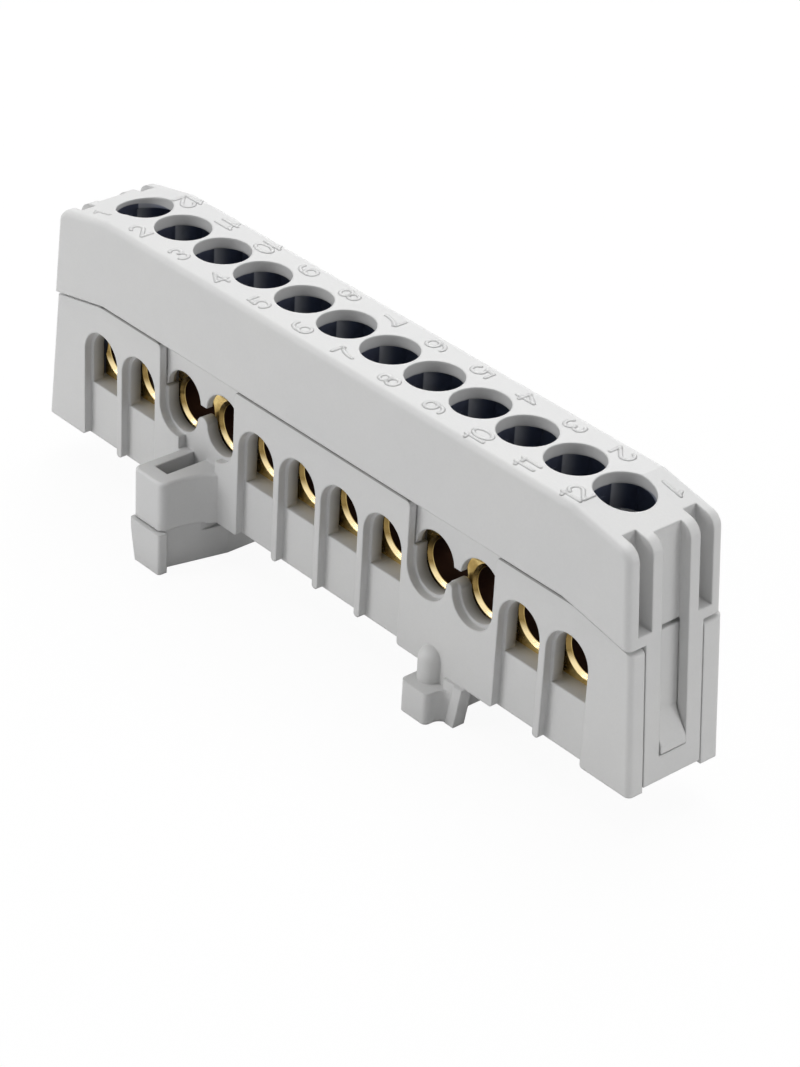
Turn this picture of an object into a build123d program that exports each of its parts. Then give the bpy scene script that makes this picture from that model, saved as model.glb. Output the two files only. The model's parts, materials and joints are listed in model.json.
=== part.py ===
"""Twelve-pole modular terminal block in a snap-together moulded housing.

Millimetres. X runs along the row of poles, pole 1 at -X. Y runs across the block, the front is -Y.
Z points up. The origin is the middle of the seat: z = 0 is the underside that rests on a 35 mm
mounting rail, which crosses the block along Y with its middle at x = 0.
"""
from build123d import *
from math import radians, tan
import os

# Poles
pole_count = 12
pole_pitch = 6.7
access_hole_dia = 6.2
access_hole_depth = 2.5

# Heights above the rail seat
body_height = 27.7
parting_height = 17.7
floor_top = 6.55
floor_thickness = 1.15
pole_centre_height = 10.3

# Long profile: a flat middle that ends an inset short of the row of poles, ends that slope down,
# and end faces that reach past the row at the seat and flare out towards the rail
flat_inset = 4.2
end_slope_deg = 11.3
end_reach = 6.3
end_flare_deg = 5.6
end_corner_radius = 1.7

# Cover
cover_width = 12.5
cover_wall = 1.2
cover_plate = 1.25
cover_edge_radius = 0.7
partition = 0.7
partition_seat = 0.05
parting_gap = 0.5

# End of the cover: four fins with pockets between them, and the channel that the strap runs in
inner_fin_outside = 3.1
inner_fin_inside = 1.8
wall_fin = 1.4
pocket_depth = 2.4
pocket_floor = 17.1
channel_depth = 1.35

# Snap strap at each end
strap_half_width = 3.8
strap_thickness = 1.2
strap_bottom = 0.5
strap_bar_top = 3.15
strap_gap = 0.12

# Base
base_width = 11.6
back_wall_step = 0.65
recess_depth = 0.9
panel = 1.4
recess_half_width = 2.92
window_half_width = 2.55
window_arch_height = 10.8
floor_rib = 0.8
divider_top = 16.0
rib_tip_radius = 0.35
flange_inside = 3.95
end_wall = 1.2
corner_radius = 0.6

# Round wire notches, in pairs, closed from above by a tab of the cover
notch_pairs = tuple((i, i + 1) for i in (pole_count // 6, 2 * pole_count // 3))
notch_corner_radius = 0.8
tab_arc_radius = 2.86
tab_arc_height = 11.9
tab_thickness = 0.8
tab_cusp_height = 12.1
tab_clearance = 0.1
tab_root = 1.5
post_tip_height = 10.8

# Snap tooth of the base, inside the strap's window
tooth_top = 7.0
tooth_land = 4.2
tooth_bottom = 3.4
tooth_reach = 1.5
tooth_root = 0.3

# Brass bar
bar_thickness = 6.0
bar_height = 9.0
bar_fit = 0.08
bar_end_fit = 0.2
bar_chamfer = 0.3
wire_bore_dia = 5.2
wire_bore_chamfer = 0.3
wire_bore_height = 10.45

# Terminal screw, at rest screwed out so that the wire bore is clear
screw_dia = 5.0
screw_thread_fit = 0.05
screw_head_dia = 5.5
screw_head_height = 2.6
screw_head_top = 24.1
screw_tip_chamfer = 0.5
screw_head_chamfer = 0.25
screw_tip_clearance = 0.1
screw_slot_width = 1.0
screw_slot_depth = 1.4
screw_cross_width = 1.1
screw_cross_length = 3.4

# Mounting rail that the feet are made for
rail_width = 35.0
rail_flange = 1.0
rail_play = 0.25
rail_side_play = 0.15
seat_relief = 0.15

# Lug over the latch, with the slot for a screwdriver blade
lug_height = 6.0
lug_left = -22.9
lug_front = -12.0
lug_front_right = -17.9
lug_root_right = -16.1
lug_corner_radius = 0.8
lug_rim_radius = 0.3
lug_overlap = 0.2
lug_slot_left = -21.5
lug_slot_right = -19.4
lug_slot_front = -10.1
lug_relief_left = -23.0
lug_relief_right = -16.8

# Latch: a slide under the lug
latch_bite = 0.55
latch_bottom = -4.9
latch_outer = -22.8
latch_front = -12.45
latch_lip = 1.1
latch_waist = 1.0
latch_taper_end = -3.6
latch_back = 5.4
latch_running_gap = 0.15
latch_travel = 1.2
latch_stem_half_width = 1.6
latch_key_half_width = 2.6
latch_key_thickness = 1.4
latch_key_inset = 2.5
latch_key_reach = 6.0
latch_guide_lip = 0.8
latch_guide_wall = 1.1
latch_draft_deg = 11.0
latch_corner_radius = 0.7
pry_slot_depth = 2.2

# Return spring of the latch, a coil on the guide's centre line
spring_wire = 0.35
spring_dia = 1.5
spring_turns = 6
spring_length = 4.0

# Fixed hook at the other side of the rail
hook_bite = 0.95
hook_bottom = -4.9
hook_front = -8.3
hook_outer = 20.5
hook_plate_reach = 2.9
hook_plate_front = -6.1
hook_plate_thickness = 1.3
hook_plate_lean = 0.9
hook_corner_radius = 0.6
hook_bend_radius = 1.2
hook_rib_step = 0.2
hook_root = 0.5
hook_rib_width = 1.25
boss_inset = 2.3
boss_radius = 1.35
boss_height = 1.2

# How far a cutting solid runs past what it cuts, and how near two places count as one
past = 1.0
near = 0.01

half_cover = cover_width / 2
half_base = base_width / 2
back_face = half_base + back_wall_step
recess_plane = half_base - recess_depth
panel_inside = recess_plane - panel
bar_front = -bar_thickness / 2
pole_xs = [(i - (pole_count - 1) / 2) * pole_pitch for i in range(pole_count)]
flare = tan(radians(end_flare_deg))
slope = tan(radians(end_slope_deg))
screw_tip = wire_bore_height + wire_bore_dia / 2 + screw_tip_clearance
rail_edge = rail_width / 2
latch_face = -(rail_edge - latch_bite)
latch_stop_face = -(rail_edge + rail_side_play)
ledge_top = -(rail_flange + rail_play)
latch_key_low = latch_outer + latch_key_inset
latch_key_high = latch_stop_face + latch_key_reach
hook_face = rail_edge + rail_side_play
hook_tip = rail_edge - hook_bite
hook_plate_outer = hook_outer + hook_plate_reach
boss_x = hook_outer - boss_inset
well = pole_pitch - partition
row_half = pole_count * pole_pitch / 2
flat_half_length = row_half - flat_inset
end_half_at_seat = row_half + end_reach
bar_end = row_half - partition / 2 - bar_end_fit


def end_x(z, inset=0.0):
    """Half length of the block at height z, less an inset."""
    return end_half_at_seat - flare * z - inset


def slope_end(height, inset=0.0):
    """Where a sloping line that leaves the flat at a height meets the flared end."""
    z = (height - (end_half_at_seat - inset - flat_half_length) * slope) / (1 - slope * flare)
    return end_x(z, inset), z


def long_solid(points, y_low, y_high):
    """Solid with an outline in X and Z, between two values of Y."""
    face = make_face(Plane.XZ * Polyline(*points, close=True))
    return Pos(0, y_low, 0) * extrude(face, y_high - y_low, dir=(0, 1, 0))


def cross_box(x_low, x_high, y_low, y_high, z_low, z_high):
    """Box between two corners."""
    size = (x_high - x_low, y_high - y_low, z_high - z_low)
    return Pos(x_low, y_low, z_low) * Box(*size, align=(Align.MIN, Align.MIN, Align.MIN))


def end_slab(z_low, z_high, inset_low, inset_high, y_low, y_high):
    """Slab that follows the flared end, between two distances inwards from it."""
    points = [
        (end_x(z_low, inset_high), z_low),
        (end_x(z_high, inset_high), z_high),
        (end_x(z_high, inset_low), z_high),
        (end_x(z_low, inset_low), z_low),
    ]
    return long_solid(points, y_low, y_high)


def both_ends(solid):
    """A solid of the +X end together with its mirror image at the -X end."""
    return [solid, mirror(solid, Plane.YZ)]


def both_sides(solid):
    """A solid of the front together with its mirror image at the back."""
    return [solid, mirror(solid, Plane.XZ)]


def under_slope(height, bottom, inset=0.0):
    """Outline below the sloped line that starts at a height, down to a flat bottom."""
    x_end, z_end = slope_end(height, inset)
    return [
        (-end_x(bottom, inset), bottom),
        (-x_end, z_end),
        (-flat_half_length, height),
        (flat_half_length, height),
        (x_end, z_end),
        (end_x(bottom, inset), bottom),
    ]


def arch(x, half_width, bottom, centre_height, y_low, y_high):
    """Opening with a round head, straight sides and a flat bottom."""
    straight = cross_box(x - half_width, x + half_width, y_low, y_high, bottom, centre_height)
    return straight + round_bar(x, half_width, centre_height, y_low, y_high)


def round_bar(x, radius, height, y_low, y_high):
    """Cylinder along Y at a height."""
    centre = Pos(x, (y_low + y_high) / 2, height)
    return centre * Rot(90, 0, 0) * Cylinder(radius, y_high - y_low)


def make_cover():
    """Upper shell: sloped lid with access holes, partitions, end fins, straps and wire tabs."""
    x_end, z_end = slope_end(body_height)
    x_part, z_part = slope_end(parting_height)
    outline = [
        (-x_part, z_part), (-x_end, z_end), (-flat_half_length, body_height),
        (flat_half_length, body_height), (x_end, z_end), (x_part, z_part),
        (flat_half_length, parting_height), (-flat_half_length, parting_height),
    ]
    shell = long_solid(outline, -half_cover, half_cover)
    top_corners = [e for e in shell.edges().filter_by(Axis.Y) if abs(e.center().Z - z_end) < near]
    shell = fillet(top_corners, end_corner_radius)
    long_edges = [
        e for e in shell.edges()
        if abs(abs(e.center().Y) - half_cover) < near and e.center().Z > parting_height + cover_edge_radius
    ]
    shell = fillet(long_edges, cover_edge_radius)

    cavity_inset = pocket_depth + cover_wall
    cavity = long_solid(
        under_slope(body_height - cover_plate, floor_top, cavity_inset),
        -half_cover + cover_wall, half_cover - cover_wall,
    )
    for i in range(pole_count + 1):
        x = pole_xs[0] + (i - 0.5) * pole_pitch
        cavity -= cross_box(
            x - partition / 2, x + partition / 2, -half_cover, half_cover,
            divider_top + partition_seat, body_height,
        )
    shell -= cavity
    for x in pole_xs:
        shell -= Pos(x, 0, body_height - access_hole_depth) * Cylinder(
            access_hole_dia / 2, access_hole_depth + past, align=(Align.CENTER, Align.CENTER, Align.MIN)
        )

    pocket = end_slab(
        pocket_floor, body_height + past, -past, pocket_depth, -half_cover + wall_fin, -inner_fin_outside
    )
    for half in both_sides(pocket):
        for piece in both_ends(half):
            shell -= piece
    channel = end_slab(0, body_height + past, -past, channel_depth, -inner_fin_inside, inner_fin_inside)
    for piece in both_ends(channel):
        shell -= piece

    strap = end_slab(strap_bottom, pocket_floor, 0, strap_thickness, -strap_half_width, strap_half_width)
    strap -= end_slab(
        strap_bar_top, pocket_floor + past, -past, strap_thickness + past, -inner_fin_inside, inner_fin_inside
    )
    for piece in both_ends(strap):
        shell += piece

    tab_front = -recess_plane + tab_clearance
    for first, last in notch_pairs:
        x_low = pole_xs[first] - well / 2
        x_high = pole_xs[last] + well / 2
        tab = cross_box(
            x_low, x_high, tab_front, tab_front + tab_thickness, tab_cusp_height, parting_height + tab_root
        )
        for i in (first, last):
            tab -= round_bar(
                pole_xs[i], tab_arc_radius, tab_arc_height, tab_front - past, tab_front + tab_thickness + past
            )
        tab += cross_box(
            x_low, x_high, -half_cover + cover_wall / 2, tab_front + tab_thickness,
            parting_height, parting_height + tab_root,
        )
        for piece in both_sides(tab):
            shell += piece
    return shell


def wire_recess(x):
    """Arched recess of one pole on the front, open at the bottom, with its window through the panel."""
    recess = arch(x, recess_half_width, -past, window_arch_height, -half_base - past, -recess_plane)
    window = arch(
        x, window_half_width, floor_top, window_arch_height, -recess_plane - past, bar_front
    )
    return recess + window


def wire_notch(first, last):
    """Pair of round notches on the front, open upwards, with a rounded post between them.

    The outer layer of the wall is cut wider than the panel behind it, whose shoulders end under the tab.
    """
    x_low = pole_xs[first] - recess_half_width
    x_high = pole_xs[last] + recess_half_width
    x_mid = (x_low + x_high) / 2
    post_half = pole_pitch / 2 - recess_half_width
    y_low = -half_base - past
    y_high = -recess_plane
    cut = cross_box(x_low, x_high, y_low, y_high, pole_centre_height, parting_height + past)
    post = cross_box(x_mid - post_half, x_mid + post_half, y_low, y_high, 0, post_tip_height - post_half)
    post += round_bar(x_mid, post_half, post_tip_height - post_half, y_low, y_high)
    cut -= post
    for i in (first, last):
        cut += round_bar(pole_xs[i], recess_half_width, pole_centre_height, y_low, y_high)
    radius = notch_corner_radius
    rim = parting_height - parting_gap
    for x, away in ((x_low, -radius), (x_high, radius)):
        x_inner, x_outer = sorted((x, x + away))
        corner = cross_box(x_inner, x_outer, y_low, -panel_inside, rim - radius, rim + past)
        cut += corner - round_bar(x + away, radius, rim - radius, y_low, -panel_inside)
    x_low = pole_xs[first] - well / 2 - tab_clearance
    x_high = pole_xs[last] + well / 2 + tab_clearance
    inner = cross_box(x_low, x_high, y_high, bar_front, floor_top, parting_height + past)
    shoulder = tab_cusp_height - tab_clearance
    post_half = pole_pitch / 2 - window_half_width
    kept = cross_box(x_low, x_high, y_high, -panel_inside, floor_top, shoulder)
    kept -= cross_box(
        pole_xs[first] - window_half_width, pole_xs[last] + window_half_width,
        y_high - past, 0, pole_centre_height, shoulder + past,
    )
    tip = post_tip_height - post_half
    kept += cross_box(x_mid - post_half, x_mid + post_half, y_high, -panel_inside, floor_top, tip)
    kept += round_bar(x_mid, post_half, tip, y_high, -panel_inside)
    for i in (first, last):
        kept -= round_bar(pole_xs[i], window_half_width, pole_centre_height, y_high - past, 0)
    return cut + (inner - kept)


def make_base():
    """Lower housing: walls with wire windows and notches, floor, dividers, end walls, lug and hook."""
    x_part, z_part = slope_end(parting_height - parting_gap)
    outline = [
        (-end_half_at_seat, 0), (-x_part, z_part), (-flat_half_length, parting_height - parting_gap),
        (flat_half_length, parting_height - parting_gap), (x_part, z_part), (end_half_at_seat, 0),
    ]
    body = long_solid(outline, -half_base, back_face)
    upright = [
        e for e in body.edges()
        if min(abs(e.center().Y + half_base), abs(e.center().Y - back_face)) < near
        and e.bounding_box().size.Z > z_part / 2
    ]
    flange_tops = [e for e in body.edges().filter_by(Axis.Y) if abs(e.center().Z - z_part) < near]
    body = fillet(upright + flange_tops, corner_radius)

    inside = channel_depth + end_wall
    chamber = long_solid(under_slope(parting_height + past, floor_top, inside), -panel_inside, panel_inside)
    for i in range(pole_count + 1):
        x = pole_xs[0] + (i - 0.5) * pole_pitch
        chamber -= cross_box(x - partition / 2, x + partition / 2, -half_base, half_base, 0, divider_top)
    chamber += cross_box(
        -bar_end - bar_end_fit, bar_end + bar_end_fit, bar_front - bar_fit, bar_fit - bar_front,
        floor_top, parting_height + past,
    )
    body -= chamber

    under = cross_box(
        -end_x(0, inside), end_x(0, inside), -panel_inside, panel_inside, -past, floor_top - floor_thickness
    )
    for i in range(pole_count + 1):
        x = pole_xs[0] + (i - 0.5) * pole_pitch
        under -= cross_box(x - floor_rib / 2, x + floor_rib / 2, -half_base, half_base, -past, floor_top)
    body -= under

    notched = [i for pair in notch_pairs for i in pair]
    for i, x in enumerate(pole_xs):
        if i not in notched:
            for piece in both_sides(wire_recess(x)):
                body -= piece
    for first, last in notch_pairs:
        for piece in both_sides(wire_notch(first, last)):
            body -= piece

    front_tip = -(half_base + recess_plane) / 2
    back_tip = (back_face + recess_plane) / 2
    tips = [
        e for e in body.edges().filter_by(Axis.Y)
        if abs(e.center().Z) < near
        and min(abs(e.center().Y - front_tip), abs(e.center().Y - back_tip)) < near
    ]
    body = fillet(tips, rib_tip_radius)

    channel = end_slab(-past, parting_height, -past, channel_depth, -flange_inside, flange_inside)
    for piece in both_ends(channel):
        body -= piece
    tooth_outline = [
        (end_x(tooth_top, channel_depth + tooth_root), tooth_top),
        (end_x(tooth_top, channel_depth), tooth_top),
        (end_x(tooth_land, channel_depth - tooth_reach), tooth_land),
        (end_x(tooth_bottom, channel_depth - tooth_reach), tooth_bottom),
        (end_x(tooth_bottom, channel_depth + tooth_root), tooth_bottom),
    ]
    tooth_half_width = inner_fin_inside - strap_gap
    for piece in both_ends(long_solid(tooth_outline, -tooth_half_width, tooth_half_width)):
        body += piece

    body += latch_guide(latch_guide_wall) & cross_box(
        -end_half_at_seat, end_half_at_seat, -half_base, half_base, 0, floor_top
    )
    body += make_lug()
    body -= cross_box(lug_slot_left, lug_slot_right, lug_slot_front, -recess_plane, -past, lug_height + past)
    body -= cross_box(
        lug_relief_left, lug_relief_right, -half_base - past, -recess_plane, lug_height, post_tip_height + past
    )
    body -= latch_guide(0)
    latch_room = latch_outer - latch_travel - 2 * latch_running_gap
    body -= cross_box(latch_room, latch_face, lug_front - past, half_base + past, -past, seat_relief)
    body -= cross_box(hook_tip, hook_face, -half_base - past, half_base + past, -past, seat_relief)
    return body + make_hook()


def make_lug():
    """Box on the front wall over the latch, with a slot for a screwdriver blade."""
    wall = -half_base + lug_overlap
    bend_start = (lug_front_right, lug_front + 1.5 * lug_corner_radius)
    outline = Polyline(
        (lug_root_right, wall), (lug_left, wall), (lug_left, lug_front),
        (lug_front_right, lug_front), bend_start,
    )
    outline += TangentArc(bend_start, (lug_root_right, wall), tangent=(0, 1))
    lug = extrude(make_face(outline), lug_height, dir=(0, 0, 1))
    upright = lug.edges().filter_by(Axis.Z)
    lug = fillet([e for e in upright if abs(e.center().Y - lug_front) < near], lug_corner_radius)
    rim = [e for e in lug.faces().sort_by(Axis.Z)[-1].edges() if e.center().Y < wall - lug_overlap]
    return fillet(rim, lug_rim_radius)


def make_hook():
    """Fixed hook under the base that grips the other edge of the rail, with its plates and boss."""
    plate_back = hook_plate_front + hook_plate_thickness
    outline = Polyline(
        (hook_tip, 0), (hook_tip, hook_front), (hook_outer, hook_front), (hook_outer, hook_plate_front),
        (hook_plate_outer, hook_plate_front), (hook_plate_outer, plate_back), (hook_outer, plate_back),
        (hook_outer, 0), close=True,
    )
    hook = Pos(0, 0, hook_bottom) * extrude(make_face(outline), ledge_top - hook_bottom, dir=(0, 0, 1))
    upright = hook.edges().filter_by(Axis.Z)
    nose = [e for e in upright if abs(e.center().Y - hook_front) < near]
    hook = fillet(nose, hook_corner_radius)
    bend = [
        e for e in hook.edges().filter_by(Axis.Z)
        if abs(e.center().X - hook_outer) < near and abs(e.center().Y - hook_plate_front) < near
    ]
    hook = fillet(bend, hook_bend_radius)
    hook += cross_box(hook_face, hook_outer, -half_base, 0, ledge_top, hook_root)
    hook += cross_box(hook_outer, hook_plate_outer, hook_plate_front, plate_back, ledge_top, 0)
    hook += cross_box(hook_outer, hook_plate_outer, -half_base, plate_back, 0, hook_root)
    rib_x = hook_plate_outer - hook_rib_width
    hook += long_solid(
        [(rib_x, 0), (hook_plate_outer, 0), (hook_plate_outer, hook_bottom),
         (rib_x - hook_plate_lean, hook_bottom)],
        hook_plate_front - hook_rib_step, plate_back,
    )
    hook -= long_solid(
        [(hook_plate_outer, 0), (hook_plate_outer + past, 0), (hook_plate_outer + past, hook_bottom),
         (hook_plate_outer - hook_plate_lean, hook_bottom)],
        hook_front, 0,
    )
    hook += Pos(boss_x, -half_base, ledge_top) * Cylinder(
        boss_radius, boss_height - ledge_top, align=(Align.CENTER, Align.CENTER, Align.MIN)
    )
    hook += Pos(boss_x, -half_base, boss_height) * Sphere(boss_radius)
    return hook + mirror(hook, Plane.XZ)


def latch_guide(wall):
    """Channel in the underside that the latch's key and spring lie in, or the block around it."""
    gap = latch_running_gap
    x_low = latch_key_low - spring_length - gap - wall
    x_high = latch_key_high + gap + wall
    stem = latch_stem_half_width + gap + wall
    key = latch_key_half_width + gap + wall
    key_top = latch_guide_lip + latch_key_thickness + 2 * gap + wall
    slot = cross_box(latch_key_low - latch_travel - gap - wall, x_high, -stem, stem, -past, key_top)
    channel = cross_box(x_low, x_high, -key, key, latch_guide_lip - wall, key_top)
    return slot + channel


def make_busbar():
    """Brass bar with a wire bore and a tapped hole at each pole."""
    bar = Pos(0, 0, floor_top + bar_height / 2) * Box(2 * bar_end, bar_thickness, bar_height)
    bar = chamfer(bar.edges().filter_by(Axis.X), bar_chamfer)
    for x in pole_xs:
        bar -= round_bar(x, wire_bore_dia / 2, wire_bore_height, -bar_thickness, bar_thickness)
        bar -= Pos(x, 0, wire_bore_height) * Cylinder(
            screw_dia / 2 + screw_thread_fit, bar_height, align=(Align.CENTER, Align.CENTER, Align.MIN)
        )
        mouth = Pos(x, bar_front, wire_bore_height) * Rot(90, 0, 0) * Cone(
            wire_bore_dia / 2 - wire_bore_chamfer, wire_bore_dia / 2 + wire_bore_chamfer,
            2 * wire_bore_chamfer,
        )
        for piece in both_sides(mouth):
            bar -= piece
    return bar


def make_screw(x):
    """Terminal screw with a slotted cross head, screwed out until its tip clears the wire bore."""
    shank_length = screw_head_top - screw_head_height - screw_tip
    profile = Polyline(
        (0, screw_tip), (screw_dia / 2 - screw_tip_chamfer, screw_tip),
        (screw_dia / 2, screw_tip + screw_tip_chamfer), (screw_dia / 2, screw_tip + shank_length),
        (screw_head_dia / 2, screw_tip + shank_length),
        (screw_head_dia / 2, screw_head_top - screw_head_chamfer),
        (screw_head_dia / 2 - screw_head_chamfer, screw_head_top), (0, screw_head_top), close=True,
    )
    screw = revolve(make_face(Plane.XZ * profile), Axis.Z)
    slot_z = screw_head_top - screw_slot_depth / 2
    screw -= Pos(0, 0, slot_z) * Box(screw_head_dia, screw_slot_width, screw_slot_depth)
    screw -= Pos(0, 0, slot_z) * Box(screw_cross_width, screw_cross_length, screw_slot_depth)
    return Pos(x, 0, 0) * screw


def make_latch():
    """Slide that grips the rail's edge: a bar under the lug with a front lip, a ledge and a guide key."""
    gap = latch_running_gap
    top = seat_relief - gap
    waist = latch_stop_face - latch_waist
    lip_end = latch_front + latch_lip
    side = Polyline(
        (latch_face, latch_back), (latch_outer, latch_back), (latch_outer, latch_front),
        (latch_stop_face, latch_front), (latch_stop_face, lip_end), (waist, lip_end),
        (latch_face, latch_taper_end), close=True,
    )
    body = Pos(0, 0, latch_bottom) * extrude(make_face(side), top - latch_bottom, dir=(0, 0, 1))
    nose = [e for e in body.edges().filter_by(Axis.Z) if abs(e.center().Y - latch_front) < near]
    body = fillet(nose, latch_corner_radius / 2)
    body -= cross_box(latch_stop_face, 0, lip_end, latch_back + past, ledge_top, top + past)
    lean = (top - latch_bottom) * tan(radians(latch_draft_deg))
    body -= long_solid(
        [(latch_outer, top), (latch_outer - past, top), (latch_outer - past, latch_bottom - past),
         (latch_outer + lean, latch_bottom - past), (latch_outer + lean, latch_bottom)],
        latch_front - past, latch_back + past,
    )
    body -= cross_box(
        lug_slot_left + gap, lug_slot_right - gap, lug_slot_front + gap, -half_base,
        top - pry_slot_depth, top + past,
    )
    key_bottom = latch_guide_lip + gap
    body += cross_box(
        latch_key_low, latch_stop_face, -latch_stem_half_width, latch_stem_half_width, top, key_bottom
    )
    body += cross_box(
        latch_key_low, latch_key_high, -latch_stem_half_width, latch_stem_half_width,
        latch_guide_lip / 2, key_bottom,
    )
    body += cross_box(
        latch_key_low, latch_key_high, -latch_key_half_width, latch_key_half_width,
        key_bottom, key_bottom + latch_key_thickness,
    )
    return body


def make_spring():
    """Coil spring between the end of the latch's key and the end of its channel."""
    gap = latch_running_gap
    x_low = latch_key_low - spring_length - gap / 2
    length = spring_length - spring_wire
    radius = (spring_dia - spring_wire) / 2
    path = Helix(length / spring_turns, length, radius)
    wire = sweep(Plane(path @ 0, z_dir=path % 0) * Circle(spring_wire / 2), path)
    height = latch_guide_lip + gap + latch_key_thickness / 2
    return Pos(x_low + spring_wire / 2, 0, height) * Rot(0, 90, 0) * wire


def main():
    os.makedirs("parts", exist_ok=True)
    nodes = {
        "cover": make_cover(),
        "base": make_base(),
        "busbar": make_busbar(),
        "rail_latch": make_latch(),
        "latch_spring": make_spring(),
    }
    for i, x in enumerate(pole_xs):
        nodes[f"terminal_screw_{i + 1:02d}"] = make_screw(x)
    for name, solid in nodes.items():
        export_step(solid, f"parts/{name}.step")
        print(name, "volume", round(solid.volume, 1), "valid", solid.is_valid)


main()
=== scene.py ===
"""Looks of a twelve-pole terminal block: moulded plastic, brass bar, plated screws and pole numbers."""
import json
import logging
import math
from dataclasses import dataclass, field
from enum import Enum
from typing import Any, Optional, Sequence, Union

import bmesh
import bpy
from mathutils import Matrix, Vector


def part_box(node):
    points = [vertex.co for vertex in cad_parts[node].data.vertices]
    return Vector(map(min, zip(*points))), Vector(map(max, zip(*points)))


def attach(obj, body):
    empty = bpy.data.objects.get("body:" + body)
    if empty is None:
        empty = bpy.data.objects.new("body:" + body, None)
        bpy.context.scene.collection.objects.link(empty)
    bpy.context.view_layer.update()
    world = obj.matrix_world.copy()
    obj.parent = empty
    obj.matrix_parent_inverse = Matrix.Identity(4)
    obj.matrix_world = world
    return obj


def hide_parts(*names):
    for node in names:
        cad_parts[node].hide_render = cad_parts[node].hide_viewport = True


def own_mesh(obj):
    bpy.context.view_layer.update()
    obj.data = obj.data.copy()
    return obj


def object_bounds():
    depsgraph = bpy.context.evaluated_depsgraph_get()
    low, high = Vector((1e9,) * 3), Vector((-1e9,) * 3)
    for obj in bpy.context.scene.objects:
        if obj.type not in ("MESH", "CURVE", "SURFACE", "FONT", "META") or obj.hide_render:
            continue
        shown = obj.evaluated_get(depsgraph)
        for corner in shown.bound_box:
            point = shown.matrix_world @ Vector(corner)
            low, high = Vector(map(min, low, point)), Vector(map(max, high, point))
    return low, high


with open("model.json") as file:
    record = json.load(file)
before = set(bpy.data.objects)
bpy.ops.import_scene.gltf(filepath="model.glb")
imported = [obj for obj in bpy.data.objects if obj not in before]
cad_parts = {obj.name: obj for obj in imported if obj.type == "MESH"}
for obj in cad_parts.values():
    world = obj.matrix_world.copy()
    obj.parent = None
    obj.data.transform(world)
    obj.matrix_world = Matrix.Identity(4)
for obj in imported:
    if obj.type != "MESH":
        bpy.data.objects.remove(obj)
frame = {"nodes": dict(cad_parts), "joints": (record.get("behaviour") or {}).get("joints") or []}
CAD_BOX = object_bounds()
log = logging.getLogger("terminal_block")

MM = 0.001
NOISE_MIDDLE = 0.5
Colour = tuple[float, float, float]

# Where a mask starts and where it is full. Beside a face it is counted from that face, in millimetres.
Fade = tuple[float, float]


@dataclass(frozen=True)
class Texture:
    """Noise in a finish: the size of its features, its octaves and the weight of the finer ones."""

    size_mm: float
    detail: float = 2.0
    roughness: float = 0.5


class Socket:
    """A node's output, with the arithmetic operators that shader maths needs."""

    def __init__(self, tree: "ShaderTree", link: bpy.types.NodeSocket) -> None:
        """Remember the tree that the output belongs to."""
        self.tree = tree
        self.link = link

    def _maths(self, operation: str, *values: Any) -> "Socket":
        """Add one Math node.

        Args:
            operation: the Math node's operation.
            values: its inputs in order, sockets or numbers.

        Returns:
            The node's value.
        """
        return self.tree.node("ShaderNodeMath", {"operation": operation}, dict(enumerate(values)))

    def __add__(self, other: Any) -> "Socket":
        """Sum."""
        return self._maths("ADD", self, other)

    __radd__ = __add__

    def __sub__(self, other: Any) -> "Socket":
        """Difference."""
        return self._maths("SUBTRACT", self, other)

    def __rsub__(self, other: Any) -> "Socket":
        """Difference with the socket on the right."""
        return self._maths("SUBTRACT", other, self)

    def __mul__(self, other: Any) -> "Socket":
        """Product."""
        return self._maths("MULTIPLY", self, other)

    __rmul__ = __mul__

    def __truediv__(self, other: Any) -> "Socket":
        """Quotient."""
        return self._maths("DIVIDE", self, other)

    def __abs__(self) -> "Socket":
        """Absolute value."""
        return self._maths("ABSOLUTE", self)

    def root(self) -> "Socket":
        """Square root."""
        return self._maths("SQRT", self)

    def part(self) -> "Socket":
        """Fractional part."""
        return self._maths("FRACT", self)

    def larger(self, other: "Socket") -> "Socket":
        """The larger of two values."""
        return self._maths("MAXIMUM", self, other)

    def wave(self, period_mm: float) -> "Socket":
        """Sine wave of a period in millimetres."""
        return self._maths("SINE", self * (2 * math.pi / (period_mm * MM)))

    def swing(self, amount: float) -> "Socket":
        """Noise about its middle, scaled to an amount."""
        return (self - NOISE_MIDDLE) * amount

    def step(self, low: float, high: float) -> "Socket":
        """Smooth step from 0 at low to 1 at high; with low above high it falls instead.

        Args:
            low: the value where the step starts.
            high: the value where it ends.

        Returns:
            A value from 0 to 1.
        """
        rising = high > low
        return self.tree.node("ShaderNodeMapRange", {"interpolation_type": "SMOOTHSTEP", "clamp": True}, {
            "Value": self,
            "From Min": min(low, high),
            "From Max": max(low, high),
            "To Min": 0.0 if rising else 1.0,
            "To Max": 1.0 if rising else 0.0,
        })

    def beside(self, face_mm: float, fade: Fade) -> "Socket":
        """Smooth step beside a face.

        Args:
            face_mm: where the face lies, in millimetres.
            fade: where the step starts and where it is full, counted from the face.

        Returns:
            A value from 0 to 1.
        """
        start, full = fade
        return self.step((face_mm + start) * MM, (face_mm + full) * MM)


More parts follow.
